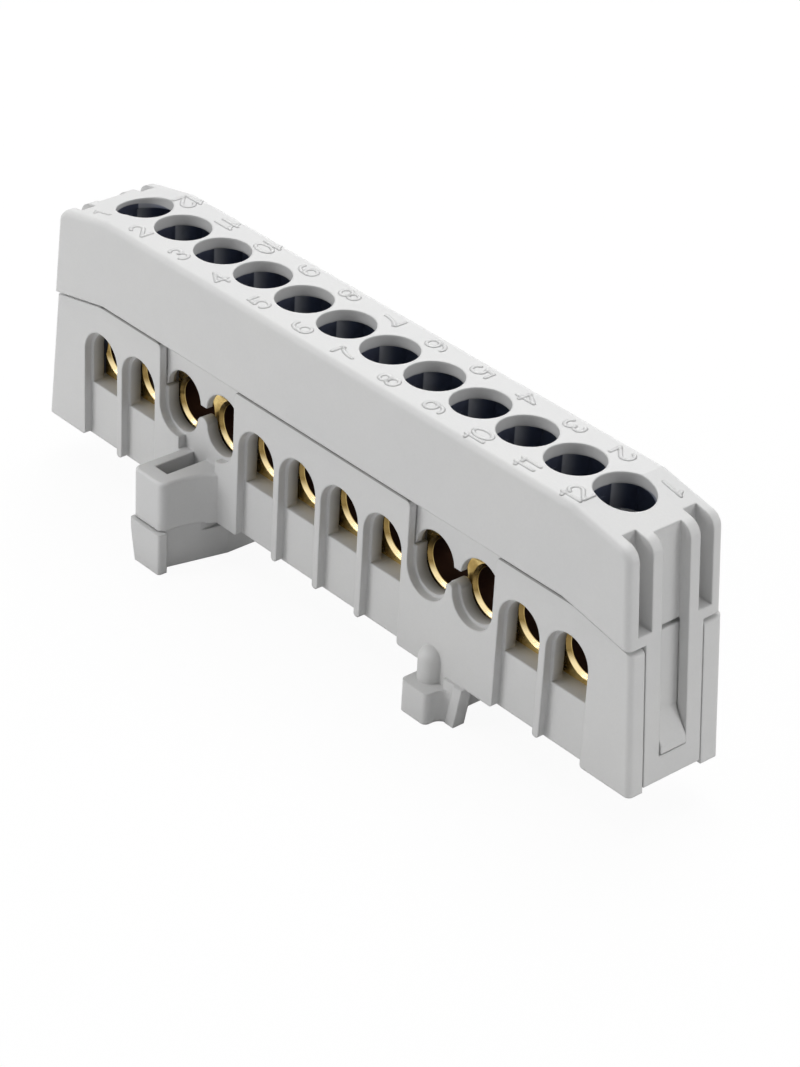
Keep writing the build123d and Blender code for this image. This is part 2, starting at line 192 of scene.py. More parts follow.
class ShaderTree:
    """The node tree of a material or of the world, filled through one method."""

    MIX_FIRST = 6
    MIX_SECOND = 7
    MIX_RESULT = 2
    BEVEL_SAMPLES = 6
    EDGE_FADE: Fade = (0.995, 0.80)

    def __init__(self, owner: Union[bpy.types.Material, bpy.types.World]) -> None:
        """Empty the owner's tree."""
        owner.use_nodes = True
        self.tree = owner.node_tree
        self.tree.nodes.clear()

    def node(self, kind: str, settings: dict[str, Any], inputs: dict[Any, Any], output: Any = 0) -> Socket:
        """Add a node.

        Args:
            kind: the node's type.
            settings: its properties, set before its sockets.
            inputs: values or sockets, by input name or number.
            output: the output to give back, by name or number.

        Returns:
            The chosen output.
        """
        made = self.tree.nodes.new(kind)
        for key, value in settings.items():
            setattr(made, key, value)
        for key, value in inputs.items():
            if isinstance(value, Socket):
                self.tree.links.new(value.link, made.inputs[key])
            else:
                made.inputs[key].default_value = value
        return Socket(self, made.outputs[output])

    def place(self) -> tuple[Socket, Socket, Socket, Socket]:
        """The point on the piece in metres, whole and as X, Y and Z."""
        point = self.node("ShaderNodeTexCoord", {}, {}, "Object")
        x, y, z = (self.node("ShaderNodeSeparateXYZ", {}, {0: point}, axis) for axis in "XYZ")
        return point, x, y, z

    def ray(self, kind: str) -> Socket:
        """1 for one kind of ray, such as Is Camera Ray, and 0 for the others."""
        return self.node("ShaderNodeLightPath", {}, {}, kind)

    def noise(self, point: Socket, texture: Texture) -> Socket:
        """Noise with features of about a size.

        Args:
            point: where it is read.
            texture: its size, octaves and weight.

        Returns:
            A value about the noise's middle.
        """
        return self.node("ShaderNodeTexNoise", {}, {
            "Vector": point,
            "Scale": 1.0 / (texture.size_mm * MM),
            "Detail": texture.detail,
            "Roughness": texture.roughness,
        }, "Fac")

    def stretched(self, point: Socket, scale: Sequence[float]) -> Socket:
        """The point with its axes scaled."""
        return self.node("ShaderNodeVectorMath", {"operation": "MULTIPLY"}, {0: point, 1: scale})

    @staticmethod
    def _with_alpha(colour: Any) -> Any:
        """A socket as it is, or a colour with its alpha."""
        return colour if isinstance(colour, Socket) else (*colour, 1.0)

    def mixed(self, factor: Any, first: Any, second: Any, blend: str = "MIX") -> Socket:
        """Blend two colours.

        Args:
            factor: 0 for the first, 1 for the second.
            first: a colour or socket.
            second: a colour or socket.
            blend: the Mix node's way of blending.

        Returns:
            The blended colour.
        """
        settings = {"data_type": "RGBA", "blend_type": blend, "clamp_factor": True}
        inputs = {
            0: factor,
            self.MIX_FIRST: self._with_alpha(first),
            self.MIX_SECOND: self._with_alpha(second),
        }
        return self.node("ShaderNodeMix", settings, inputs, self.MIX_RESULT)

    def scaled(self, colour: Any, amount: Socket) -> Socket:
        """A colour made lighter or darker by a value."""
        return self.node("ShaderNodeVectorMath", {"operation": "SCALE"}, {0: colour, "Scale": amount})

    def bump(self, height: Socket, depth_mm: float, normal: Optional[Socket] = None) -> Socket:
        """Normal of a surface with a height map.

        Args:
            height: the height, 0 to 1.
            depth_mm: how high 1 stands, in millimetres.
            normal: the normal to start from.

        Returns:
            The bumped normal.
        """
        inputs = {"Height": height, "Distance": depth_mm * MM, "Strength": 1.0}
        if normal is not None:
            inputs["Normal"] = normal
        return self.node("ShaderNodeBump", {}, inputs)

    def soft_edge(self, radius_mm: float) -> Socket:
        """Normal with sharp edges rounded to a radius."""
        return self.node("ShaderNodeBevel", {"samples": self.BEVEL_SAMPLES}, {"Radius": radius_mm * MM})

    def edge_mask(self, rounded: Socket) -> Socket:
        """1 along edges, 0 on flat ground, from a normal with rounded edges."""
        true_normal = self.node("ShaderNodeNewGeometry", {}, {}, "True Normal")
        dot = {"operation": "DOT_PRODUCT"}
        same = self.node("ShaderNodeVectorMath", dot, {0: rounded, 1: true_normal}, "Value")
        return same.step(*self.EDGE_FADE)

    def surface(self, **values: Any) -> None:
        """End the tree in a principled shader.

        Args:
            values: sockets or constants, by input name with underscores for spaces.
        """
        inputs = {key.replace("_", " "): value for key, value in values.items()}
        self.end(self.node("ShaderNodeBsdfPrincipled", {}, inputs))

    def end(self, shader: Socket, kind: str = "ShaderNodeOutputMaterial") -> None:
        """Link a shader to the tree's output.

        Args:
            shader: what the surface shows.
            kind: the type of the output node.
        """
        out = self.tree.nodes.new(kind)
        self.tree.links.new(shader.link, out.inputs["Surface"])


class Zone(Enum):
    """Where a moulding has an inside that light hardly reaches."""

    NONE = "none"
    WELLS = "screwdriver wells under the lid"
    CHAMBERS = "wire chambers behind the windows"


@dataclass(frozen=True)
class BlockSizes:
    """Sizes of the block that the finishes and numbers line up with, in millimetres."""

    pitch: float = 6.7
    poles: int = 12
    top: float = 27.7
    flat_half: float = 36.0
    slope_deg: float = 11.3
    plate: float = 1.25
    wall_inside: float = 5.05
    cavity_end: float = 41.0
    parting: float = 17.7
    bore_height: float = 10.45
    bore_radius: float = 2.6
    bar_half_width: float = 3.0
    recess_plane: float = 4.9
    panel_inside: float = 3.5
    floor_top: float = 6.55
    countersink: float = 0.42
    rim: float = 17.2

    def pole_x(self, number: int) -> float:
        """Middle of a pole, counted from 1."""
        return (number - (self.poles + 1) / 2) * self.pitch


SIZES = BlockSizes()


def from_pole(x: Socket) -> Socket:
    """Distance along the row from the middle of the nearest pole, in metres."""
    pitch = SIZES.pitch * MM
    return ((x / pitch).part() - 0.5) * pitch


@dataclass(frozen=True)
class WellShade:
    """Darkness inside the screwdriver wells, with a strip at the back that gets some light."""

    lid: Fade = (0.05, -0.15)
    seam: Fade = (0.0, 0.3)
    wall: Fade = (0.08, 0.02)
    end: Fade = (0.4, 0.0)
    near_half: Fade = (1.35, 1.25)
    strip_start: Fade = (1.20, 1.40)
    strip_end: Fade = (3.8, 1.5)
    dark: float = 0.93
    near_dark: float = 0.06
    strip_light: float = 0.58

    def mask(self, x: Socket, y: Socket, z: Socket) -> Socket:
        """Mask of the inside faces.

        Args:
            x: the place along the row.
            y: the place from front to back.
            z: the height.

        Returns:
            0 outside the wells, and nearly 1 where they are darkest.
        """
        inside = z.beside(SIZES.top - SIZES.plate, self.lid) * z.beside(SIZES.parting, self.seam)
        inside = inside * abs(y).beside(SIZES.wall_inside, self.wall)
        inside = inside * abs(x).beside(SIZES.cavity_end, self.end)
        strip = y.beside(0.0, self.strip_start) * y.beside(0.0, self.strip_end)
        near = y.beside(0.0, self.near_half)
        # Painted shade, darker on the near half, with a painted lit strip at the back.
        return inside * (self.dark + near * self.near_dark - strip * self.strip_light)


@dataclass(frozen=True)
class ChamberShade:
    """Painted shade in the wire chambers and on the walls that lead to them, and a painted shadow under the
    cover's lip at the joint.
    """

    panel: Fade = (0.02, -0.10)
    floor: Fade = (0.0, 0.4)
    end: Fade = (0.4, 0.0)
    dark: float = 0.92
    wall_start: float = -0.02
    wall_full: float = -0.1
    wall_foot: Fade = (0.05, 0.6)
    wall_dark: float = 0.85
    joint_fade: Fade = (-0.28, -0.16)
    joint_dark: float = 0.8

    def mask(self, x: Socket, y: Socket, z: Socket) -> Socket:
        """Mask of painted shade on the chambers' inside faces.

        Args:
            x: the place along the row.
            y: the place from front to back.
            z: the height.

        Returns:
            0 outside the chambers, and nearly 1 inside them.
        """
        within = abs(y).beside(SIZES.panel_inside, self.panel)
        above = z.beside(SIZES.floor_top, self.floor)
        # Painted shade inside the chambers behind the windows.
        return within * above * abs(x).beside(SIZES.cavity_end, self.end) * self.dark

    def walls(self, x: Socket, y: Socket, z: Socket) -> Socket:
        """Mask of painted shade, warmed by a painted reflection of the brass, on the walls between the
        recesses and the chambers.

        Args:
            x: the place along the row.
            y: the place from front to back.
            z: the height.

        Returns:
            0 at the recesses, rising inwards.
        """
        start = (SIZES.recess_plane + self.wall_start) * MM
        shaded = abs(y).step(start, (SIZES.panel_inside + self.wall_full) * MM)
        shaded = shaded * z.beside(SIZES.floor_top, self.wall_foot)
        return shaded * abs(x).beside(SIZES.cavity_end, self.end) * self.wall_dark

    def joint(self, z: Socket) -> Socket:
        """Mask of the shadow painted on the base just under the cover's lip, where cover and base meet."""
        return z.beside(SIZES.rim, self.joint_fade) * self.joint_dark


@dataclass(frozen=True)
class MouldedPlastic:
    """Light grey moulded plastic with a fine spark-eroded skin and softened edges, which are painted a little
    lighter as a highlight.
    """

    name: str
    colour: Colour = (0.600, 0.600, 0.597)
    cool: Colour = (0.995, 1.0, 1.012)
    warm: Colour = (1.004, 1.0, 0.990)
    # Colours of painted shade inside the wells and chambers; the second is for the darker near half.
    unlit: Colour = (0.105, 0.135, 0.235)
    unlit_near: Colour = (0.038, 0.046, 0.078)
    # Painted shade, warmed by a painted reflection of the brass bar, on the walls into the chambers.
    shaded: Colour = (0.20, 0.185, 0.155)
    # Painted shadow under the cover's lip, on the base just below the joint.
    groove: Colour = (0.16, 0.155, 0.15)
    broad: Texture = Texture(14.0, 3.0)
    cloud: Texture = Texture(3.0)
    grain: Texture = Texture(0.28, 3.0, 0.6)
    tone: float = 0.955
    broad_tone: float = 0.06
    cloud_tone: float = 0.03
    grain_tone: float = 0.06
    # Painted highlight: how much lighter the softened edges are painted.
    edge_tone: float = 0.05
    roughness: float = 0.46
    cloud_rough: float = 0.10
    grain_rough: float = 0.12
    edge_polish: float = 0.06
    grain_depth_mm: float = 0.012
    edge_radius_mm: float = 0.30
    refraction: float = 1.47
    specular: float = 0.42
    wells: WellShade = WellShade()
    chambers: ChamberShade = ChamberShade()
    zone: Zone = Zone.NONE

    def build(self) -> bpy.types.Material:
        """Make the material."""
        material = bpy.data.materials.new(self.name)
        tree = ShaderTree(material)
        point, x, y, z = tree.place()
        broad = tree.noise(point, self.broad)
        cloud = tree.noise(point, self.cloud)
        grain = tree.noise(point, self.grain)
        rounded = tree.soft_edge(self.edge_radius_mm)
        edge = tree.edge_mask(rounded)
        tone = self.tone + broad.swing(self.broad_tone) + cloud.swing(self.cloud_tone)
        # The edge term paints a highlight along the softened edges.
        tone = tone + grain.swing(self.grain_tone) + edge * self.edge_tone
        tint = tree.mixed(broad, self.cool, self.warm)
        colour = tree.scaled(tree.mixed(1.0, self.colour, tint, "MULTIPLY"), tone)
        if self.zone is Zone.CHAMBERS:
            # Painted shade with a warm painted reflection of the brass on the walls into the chambers.
            colour = tree.mixed(self.chambers.walls(x, y, z), colour, self.shaded)
            # Painted shadow under the cover's lip along the joint with the base.
            colour = tree.mixed(self.chambers.joint(z), colour, self.groove)
        # Painted shade inside the wells or the chambers, darker on the near half.
        dark = self._unlit_mask(x, y, z)
        if dark is not None:
            near = y.beside(0.0, self.wells.near_half)
            colour = tree.mixed(dark, colour, tree.mixed(near, self.unlit, self.unlit_near))
        rough = self.roughness + cloud.swing(self.cloud_rough) + grain.swing(self.grain_rough)
        tree.surface(
            Base_Color=colour, Roughness=rough - edge * self.edge_polish, IOR=self.refraction,
            Specular_IOR_Level=self.specular, Normal=tree.bump(grain, self.grain_depth_mm, rounded),
        )
        return material

    def _unlit_mask(self, x: Socket, y: Socket, z: Socket) -> Optional[Socket]:
        """Mask of painted shade on the inside faces of the zone, or None where there is none.

        Args:
            x: the place along the row.
            y: the place from front to back.
            z: the height.

        Returns:
            The mask, or None.
        """
        if self.zone is Zone.WELLS:
            return self.wells.mask(x, y, z)
        if self.zone is Zone.CHAMBERS:
            return self.chambers.mask(x, y, z)
        return None


@dataclass(frozen=True)
class MachinedBrass:
    """Drawn and milled brass bar, with tool rings round the bores, countersinks painted with highlights and
    shade, and bores painted dark as shade.
    """

    name: str = "machined brass"
    bright: Colour = (0.80, 0.60, 0.24)
    dull: Colour = (0.46, 0.31, 0.10)
    # Painted highlight, then painted shade, on the countersinks.
    turned: Colour = (0.96, 0.78, 0.44)
    worn: Colour = (0.26, 0.175, 0.060)
    # Painted shade: the inside of the bores is painted near black.
    bore: Colour = (0.040, 0.017, 0.010)
    bore_edge: Fade = (0.08, 0.03)
    deep_edge: Fade = (0.06, -0.02)
    mouth_edge: Fade = (0.01, -0.03)
    turned_share: Fade = (0.42, 0.90)
    streaks: Texture = Texture(0.16, 3.0, 0.6)
    streak_stretch: tuple[float, float, float] = (0.06, 1.0, 1.0)
    streak_fade: Fade = (0.55, 0.8)
    streak_dull: float = 0.35
    stains: Texture = Texture(2.4, 3.0, 0.6)
    stain_fade: Fade = (0.42, 0.68)
    stain_rough_fade: Fade = (0.4, 0.7)
    ring_mm: float = 0.11
    roughness: float = 0.20
    stain_rough: float = 0.16
    streak_rough: float = 0.12
    countersink_polish: float = 0.08
    bore_rough: float = 0.3
    streak_height: float = 0.6
    ring_height: float = 0.12
    depth_mm: float = 0.008
    edge_radius_mm: float = 0.05

    def build(self) -> bpy.types.Material:
        """Make the material."""
        material = bpy.data.materials.new(self.name)
        tree = ShaderTree(material)
        point, x, y, z = tree.place()
        along = from_pole(x)
        up = z - SIZES.bore_height * MM
        distance = (along * along + up * up).root()
        inside = distance.beside(SIZES.bore_radius, self.bore_edge)
        deep = abs(y).beside(SIZES.bar_half_width - SIZES.countersink, self.deep_edge)
        mouth = distance.beside(SIZES.bore_radius + SIZES.countersink, self.mouth_edge)
        chamfer = mouth * (1 - inside) * (1 - deep)
        streaks = tree.noise(tree.stretched(point, self.streak_stretch), self.streaks)
        stains = tree.noise(point, self.stains)
        rings = distance.wave(self.ring_mm)
        colour = tree.mixed(stains.step(*self.stain_fade), self.bright, self.dull)
        colour = tree.mixed(streaks.step(*self.streak_fade) * self.streak_dull, colour, self.dull)
        # Paint the countersinks with a highlight towards their top and bottom and with shade at their sides.
        start, full = (share * SIZES.bore_radius * MM for share in self.turned_share)
        colour = tree.mixed(chamfer, colour, tree.mixed(abs(up).step(start, full), self.worn, self.turned))
        # Paint the inside of the bores near black as shade.
        colour = tree.mixed(inside * deep, colour, self.bore)
        rough = self.roughness + stains.step(*self.stain_rough_fade) * self.stain_rough
        rough = rough + streaks.swing(self.streak_rough) - chamfer * self.countersink_polish
        height = streaks * self.streak_height + rings * self.ring_height * (1 - inside)
        tree.surface(
            Base_Color=colour, Roughness=rough + inside * deep * self.bore_rough, Metallic=1.0,
            Normal=tree.bump(height, self.depth_mm, tree.soft_edge(self.edge_radius_mm)),
        )
        return material


@dataclass(frozen=True)
class PlatedSteel:
    """Zinc plated steel with turning marks, and a thread below the head."""

    name: str = "plated steel"
    light: Colour = (0.50, 0.51, 0.53)
    dark: Colour = (0.22, 0.23, 0.25)
    mark_mm: float = 0.14
    thread_mm: float = 0.8
    under_head: Fade = (21.5, 21.3)
    pits: Texture = Texture(0.5, 4.0, 0.6)
    pit_fade: Fade = (0.40, 0.70)
    pit_rough_fade: Fade = (0.35, 0.75)
    roughness: float = 0.26
    pit_rough: float = 0.22
    mark_height: float = 0.10
    pit_height: float = 0.35
    thread_height: float = 1.6
    depth_mm: float = 0.06
    edge_radius_mm: float = 0.10

    def build(self) -> bpy.types.Material:
        """Make the material."""
        material = bpy.data.materials.new(self.name)
        tree = ShaderTree(material)
        point, x, y, z = tree.place()
        along = from_pole(x)
        marks = (along * along + y * y).root().wave(self.mark_mm)
        pits = tree.noise(point, self.pits)
        thread = z.wave(self.thread_mm) * z.beside(0.0, self.under_head)
        rough = self.roughness + pits.step(*self.pit_rough_fade) * self.pit_rough
        height = marks * self.mark_height + pits * self.pit_height + thread * self.thread_height
        tree.surface(
            Base_Color=tree.mixed(pits.step(*self.pit_fade), self.light, self.dark),
            Roughness=rough, Metallic=1.0,
            Normal=tree.bump(height, self.depth_mm, tree.soft_edge(self.edge_radius_mm)),
        )
        return material


@dataclass(frozen=True)
class SpringWire:
    """Drawn spring wire with fine scratches."""

    name: str = "spring wire"
    light: Colour = (0.56, 0.56, 0.58)
    dark: Colour = (0.26, 0.25, 0.24)
    scratches: Texture = Texture(0.08, 4.0, 0.7)
    scratch_fade: Fade = (0.35, 0.75)
    roughness: float = 0.24
    scratch_rough: float = 0.25
    depth_mm: float = 0.01

    def build(self) -> bpy.types.Material:
        """Make the material."""
        material = bpy.data.materials.new(self.name)
        tree = ShaderTree(material)
        point, _, _, _ = tree.place()
        scratches = tree.noise(point, self.scratches)
        tree.surface(
            Base_Color=tree.mixed(scratches.step(*self.scratch_fade), self.light, self.dark),
            Roughness=self.roughness + scratches * self.scratch_rough, Metallic=1.0,
            Normal=tree.bump(scratches, self.depth_mm),
        )
        return material


def dress(node: str, material: bpy.types.Material) -> None:
    """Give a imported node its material.

    Args:
        node: the node's name.
        material: what it is made of.
    """
    mesh = frame["nodes"][node].data
    mesh.materials.clear()
    mesh.materials.append(material)
    log.info("dressed %s in %s", node, material.name)


Stroke = list[tuple[float, float]]
ARC_STEP_DEG = 15
LEAST_ARC_STEPS = 4

# Cosine of the sharpest turn that a bead follows in one piece.
SHARP_TURN = 0.5


def arc(middle: tuple[float, float], radii: tuple[float, float], start_deg: float, end_deg: float) -> Stroke:
    """Points of an arc of an ellipse.

    Args:
        middle: its centre.
        radii: its half width and half height.
        start_deg: where it starts, counted from the right, anticlockwise.
        end_deg: where it ends.

    Returns:
        The points in order.
    """
    count = max(LEAST_ARC_STEPS, round(abs(end_deg - start_deg) / ARC_STEP_DEG))
    angles = [math.radians(start_deg + (end_deg - start_deg) * i / count) for i in range(count + 1)]
    return [(middle[0] + radii[0] * math.cos(a), middle[1] + radii[1] * math.sin(a)) for a in angles]


def figure_strokes(figure: str) -> list[Stroke]:
    """Strokes of one figure, drawn with a round pen.

    Args:
        figure: a figure from 0 to 9.

    Returns:
        The strokes, in a box one unit high about the origin.
    """
    wide = 0.29
    loop = 0.24
    if figure == "0":
        return [arc((0, 0), (wide, 0.5), 90, 450)]
    if figure == "1":
        return [[(-0.17, 0.30), (0.0, 0.38), (0.06, 0.5), (0.06, -0.5)]]
    if figure == "2":
        return [arc((0, 0.5 - wide), (wide, wide), 165, -32) + [(-wide, -0.5), (wide, -0.5)]]
    if figure == "3":
        upper = arc((0, 0.5 - loop), (wide - 0.03, loop), 150, -90)
        lower = arc((0, -0.5 + loop + 0.02), (wide, loop + 0.02), 90, -150)
        return [upper + lower]
    if figure == "4":
        return [[(0.14, -0.5), (0.14, 0.5), (-wide - 0.03, -0.2), (wide + 0.03, -0.2)]]
    if figure == "5":
        bowl = arc((-0.01, -0.5 + wide + 0.03), (wide, wide + 0.03), 118, -150)
        return [[(wide - 0.03, 0.5), (-wide + 0.07, 0.5), (-wide + 0.02, 0.04)] + bowl]
    if figure == "6":
        back = arc((0.10, -0.04), (wide + 0.10, 0.54), 75, 180)
        return [back + arc((0, -0.5 + wide), (wide, wide), 180, 540)]
    if figure == "7":
        return [[(-wide, 0.5), (wide, 0.5)] + arc((wide + 0.12, -0.5), (wide + 0.16, 0.94), 100, 180)]
    if figure == "8":
        upper = arc((0, 0.5 - loop), (wide - 0.04, loop), -90, 270)
        return [upper, arc((0, -0.5 + loop + 0.02), (wide, loop + 0.02), 90, 450)]
    return [[(-x, -y) for x, y in stroke] for stroke in figure_strokes("6")]


def split_at_corners(stroke: Stroke) -> list[Stroke]:
    """Cut a stroke where it turns sharply, since a bead can't be bent there.

    Args:
        stroke: its points.

    Returns:
        The pieces, which share the corners.
    """
    pieces = [[stroke[0]]]
    for before, at, after in zip(stroke, stroke[1:], stroke[2:]):
        pieces[-1].append(at)
        arriving = Vector(at) - Vector(before)
        leaving = Vector(after) - Vector(at)
        if arriving.normalized().dot(leaving.normalized()) < SHARP_TURN:
            pieces.append([at])
    pieces[-1].append(stroke[-1])
    return pieces


@dataclass
class PoleNumbers:
    """Raised pole numbers on the lid, one row that reads from the front and one from the back.

    Sizes are in millimetres, but a figure's advance, narrow for a 1 and wide for the others, is in heights.
    """

    sizes: BlockSizes = SIZES
    height: float = 2.35
    front_row_y: float = -4.18
    back_row_y: float = 4.38
    pair_row_y: float = 4.40
    shift: float = 2.05
    stroke: float = 0.25
    raised: float = 0.044
    narrow: float = 0.42
    wide: float = 0.66
    sides: int = 12
    cap_rings: int = 3
    cap_deg: float = 88
    least_mitre: float = 0.6

    def build(self, material: bpy.types.Material) -> None:
        """Make both rows.

        Args:
            material: the lid's plastic.
        """
        rows = (("pole_numbers_front", 1, self.front_row_y), ("pole_numbers_back", -1, self.back_row_y))
        for name, facing, y in rows:
            points: list[Vector] = []
            faces: list[list[int]] = []
            for number in range(1, self.sizes.poles + 1):
                seat = self._seat(number, facing, y)
                for stroke in self._number_strokes(number):
                    self._bead(stroke, seat, points, faces)
            mesh = bpy.data.meshes.new(name)
            mesh.from_pydata(points, [], faces)
            mesh.shade_smooth()
            numbers = bpy.data.objects.new(name, mesh)
            bpy.context.scene.collection.objects.link(numbers)
            mesh.materials.append(material)
            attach(numbers, "housing")
            log.info("%s: %d faces", name, len(mesh.polygons))

    def _seat(self, number: int, facing: int, row_y: float) -> Matrix:
        """Where a number stands on the lid.

        Args:
            number: the pole's number.
            facing: 1 to read from the front, -1 from the back.
            row_y: the row of the one-figure numbers.

        Returns:
            The number's place and turn, in metres.
        """
        x = facing * (self.sizes.pole_x(number) - self.shift)
        y = math.copysign(self.pair_row_y, row_y) if len(str(number)) > 1 else row_y
        seat = Matrix.Translation((x, y, self._lid_height(x))) @ self._lid_tilt(x)
        return Matrix.Scale(MM, 4) @ seat @ Matrix.Rotation(math.radians(90 * facing), 4, "Z")

    def _number_strokes(self, number: int) -> list[Stroke]:
        """Strokes of a whole number, in millimetres about its middle."""
        figures = str(number)
        advances = [self.narrow if figure == "1" else self.wide for figure in figures]
        left = -sum(advances) / 2
        strokes = []
        for figure, advance in zip(figures, advances):
            across = left + advance / 2
            left += advance
            for stroke in figure_strokes(figure):
                placed = [((px + across) * self.height, py * self.height) for px, py in stroke]
                strokes.extend(split_at_corners(placed))
        return strokes

    def _rings(self, line: list[Vector]) -> list[tuple[Vector, Vector, float]]:
        """Rings of a bead with round ends.

        Args:
            line: the bead's middle line.

        Returns:
            For each ring its middle, the way it faces and its size against the stroke's.
        """
        rings = [(line[0], (line[1] - line[0]).normalized(), 1.0)]
        for before, at, after in zip(line, line[1:], line[2:]):
            ahead = (after - before).normalized()
            rings.append((at, ahead, 1.0 / max(self.least_mitre, (at - before).normalized().dot(ahead))))
        rings.append((line[-1], (line[-1] - line[-2]).normalized(), 1.0))
        for step in range(1, self.cap_rings + 1):
            turn = math.radians(self.cap_deg) * step / self.cap_rings
            reach, size = self.stroke * math.sin(turn), math.cos(turn)
            rings.insert(0, (line[0] - rings[0][1] * reach, rings[0][1], size))
            rings.append((line[-1] + rings[-1][1] * reach, rings[-1][1], size))
        return rings

    def _bead(self, stroke: Stroke, seat: Matrix, points: list[Vector], faces: list[list[int]]) -> None:
        """Add a flattened round bead along a stroke, half sunk in the lid.

        Args:
            stroke: its middle line.
            seat: where the number stands.
            points: the mesh's points, added to.
            faces: the mesh's faces, added to.
        """
        rings = self._rings([Vector((px, py, 0)) for px, py in stroke])
        first = len(points)
        for at, ahead, size in rings:
            side = Vector((-ahead.y, ahead.x, 0))
            for k in range(self.sides):
                turn = 2 * math.pi * k / self.sides
                lift = self.raised * min(size, 1.0) * math.sin(turn)
                points.append(seat @ (at + side * self.stroke * size * math.cos(turn) + Vector((0, 0, lift))))
        last = first + (len(rings) - 1) * self.sides
        for low in range(first, last, self.sides):
            for k in range(self.sides):
                after = (k + 1) % self.sides
                faces.append([low + k, low + after, low + self.sides + after, low + self.sides + k])
        faces.append([first + k for k in reversed(range(self.sides))])
        faces.append([last + k for k in range(self.sides)])

    def _lid_height(self, x: float) -> float:
        """Height of the lid over a place in the row."""
        beyond = max(0.0, abs(x) - self.sizes.flat_half)
        return self.sizes.top - beyond * math.tan(math.radians(self.sizes.slope_deg))

    def _lid_tilt(self, x: float) -> Matrix:
        """Tilt of the lid there."""
        if abs(x) < self.sizes.flat_half:
            return Matrix.Identity(4)
        return Matrix.Rotation(math.copysign(math.radians(self.sizes.slope_deg), x), 4, "Y")


@dataclass
class Housing:
    """The moulded cover and base, with the raised pole numbers."""

    cover: MouldedPlastic = MouldedPlastic("moulded cover", zone=Zone.WELLS)
    base: MouldedPlastic = MouldedPlastic("moulded base", zone=Zone.CHAMBERS)
    numbers: PoleNumbers = field(default_factory=PoleNumbers)

    def build(self) -> None:
        """Dress both mouldings and add the numbers."""
        lid = self.cover.build()
        dress("cover", lid)
        dress("base", self.base.build())
        self.numbers.build(lid)


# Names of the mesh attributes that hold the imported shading, which a cut leaves false.
STORED_SHADING = ("custom_normal", "sharp_edge", "sharp_face")


@dataclass
class Conductor:
    """The brass bar and its clamping screws."""

    brass: MachinedBrass = MachinedBrass()
    steel: PlatedSteel = PlatedSteel()
    cone_sides: int = 96
    cone_past: float = 0.1
    join_mm: float = 0.002
    sliver_mm: float = 0.001
    flat_deg: float = 0.3
    sharp_deg: float = 25

    def build(self) -> None:
        """Make the bar and dress the screws."""
        brass = self.brass.build()
        dress("busbar", brass)
        self._bar(brass)
        steel = self.steel.build()
        for number in range(1, SIZES.poles + 1):
            dress(f"terminal_screw_{number:02d}", steel)

    def _bar(self, brass: bpy.types.Material) -> None:
        """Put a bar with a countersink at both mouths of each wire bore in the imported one's place.

        Args:
            brass: what it is made of.
        """
        scene = bpy.context.scene
        bar = bpy.data.objects.new("brass_bar", frame["nodes"]["busbar"].data.copy())
        cutter = bpy.data.objects.new("countersink_cutter", self._cones())
        for piece in (bar, cutter):
            scene.collection.objects.link(piece)
        cut = bar.modifiers.new("countersinks", "BOOLEAN")
        cut.operation = "DIFFERENCE"
        cut.solver = "EXACT"
        cut.object = cutter
        bpy.context.view_layer.update()
        mesh = bpy.data.meshes.new_from_object(bar.evaluated_get(bpy.context.evaluated_depsgraph_get()))
        self._clean(mesh)
        bar.modifiers.clear()
        bar.data = mesh
        bpy.data.objects.remove(cutter)
        mesh.materials.clear()
        mesh.materials.append(brass)
        mesh.shade_smooth()
        mesh.set_sharp_from_angle(angle=math.radians(self.sharp_deg))
        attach(bar, "housing")
        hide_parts("busbar")
        log.info("brass_bar: %d faces", len(mesh.polygons))

    def _clean(self, mesh: bpy.types.Mesh) -> None:
        """Join doubled points, merge the slivers that a cut leaves on flat faces and drop old shading.

        Args:
            mesh: the mesh, changed in place.
        """
        cleaned = bmesh.new()
        cleaned.from_mesh(mesh)
        bmesh.ops.remove_doubles(cleaned, verts=cleaned.verts, dist=self.join_mm * MM)
        bmesh.ops.dissolve_degenerate(cleaned, edges=cleaned.edges, dist=self.sliver_mm * MM)
        flat = math.radians(self.flat_deg)
        bmesh.ops.dissolve_limit(cleaned, angle_limit=flat, verts=cleaned.verts, edges=cleaned.edges)
        bmesh.ops.triangulate(cleaned, faces=[face for face in cleaned.faces if len(face.verts) > 4])
        cleaned.to_mesh(mesh)
        cleaned.free()
        for stored in [layer for layer in mesh.attributes if layer.name in STORED_SHADING]:
            mesh.attributes.remove(stored)

    def _cones(self) -> bpy.types.Mesh:
        """Cones that leave the countersinks, one at each mouth of each wire bore."""
        inner = SIZES.bore_radius - self.cone_past / 2
        outer = SIZES.bore_radius + SIZES.countersink + self.cone_past
        middle = SIZES.bar_half_width + self.cone_past - (outer - inner) / 2
        cones = bmesh.new()
        for number in range(1, SIZES.poles + 1):
            for side in (-1, 1):
                at = Matrix.Translation((SIZES.pole_x(number), side * middle, SIZES.bore_height))
                turn = Matrix.Rotation(math.radians(-90 * side), 4, "X")
                bmesh.ops.create_cone(
                    cones, cap_ends=True, segments=self.cone_sides, radius1=inner, radius2=outer,
                    depth=outer - inner, matrix=Matrix.Scale(MM, 4) @ at @ turn,
                )
        mesh = bpy.data.meshes.new("countersink_cones")
        cones.to_mesh(mesh)
        cones.free()
        return mesh


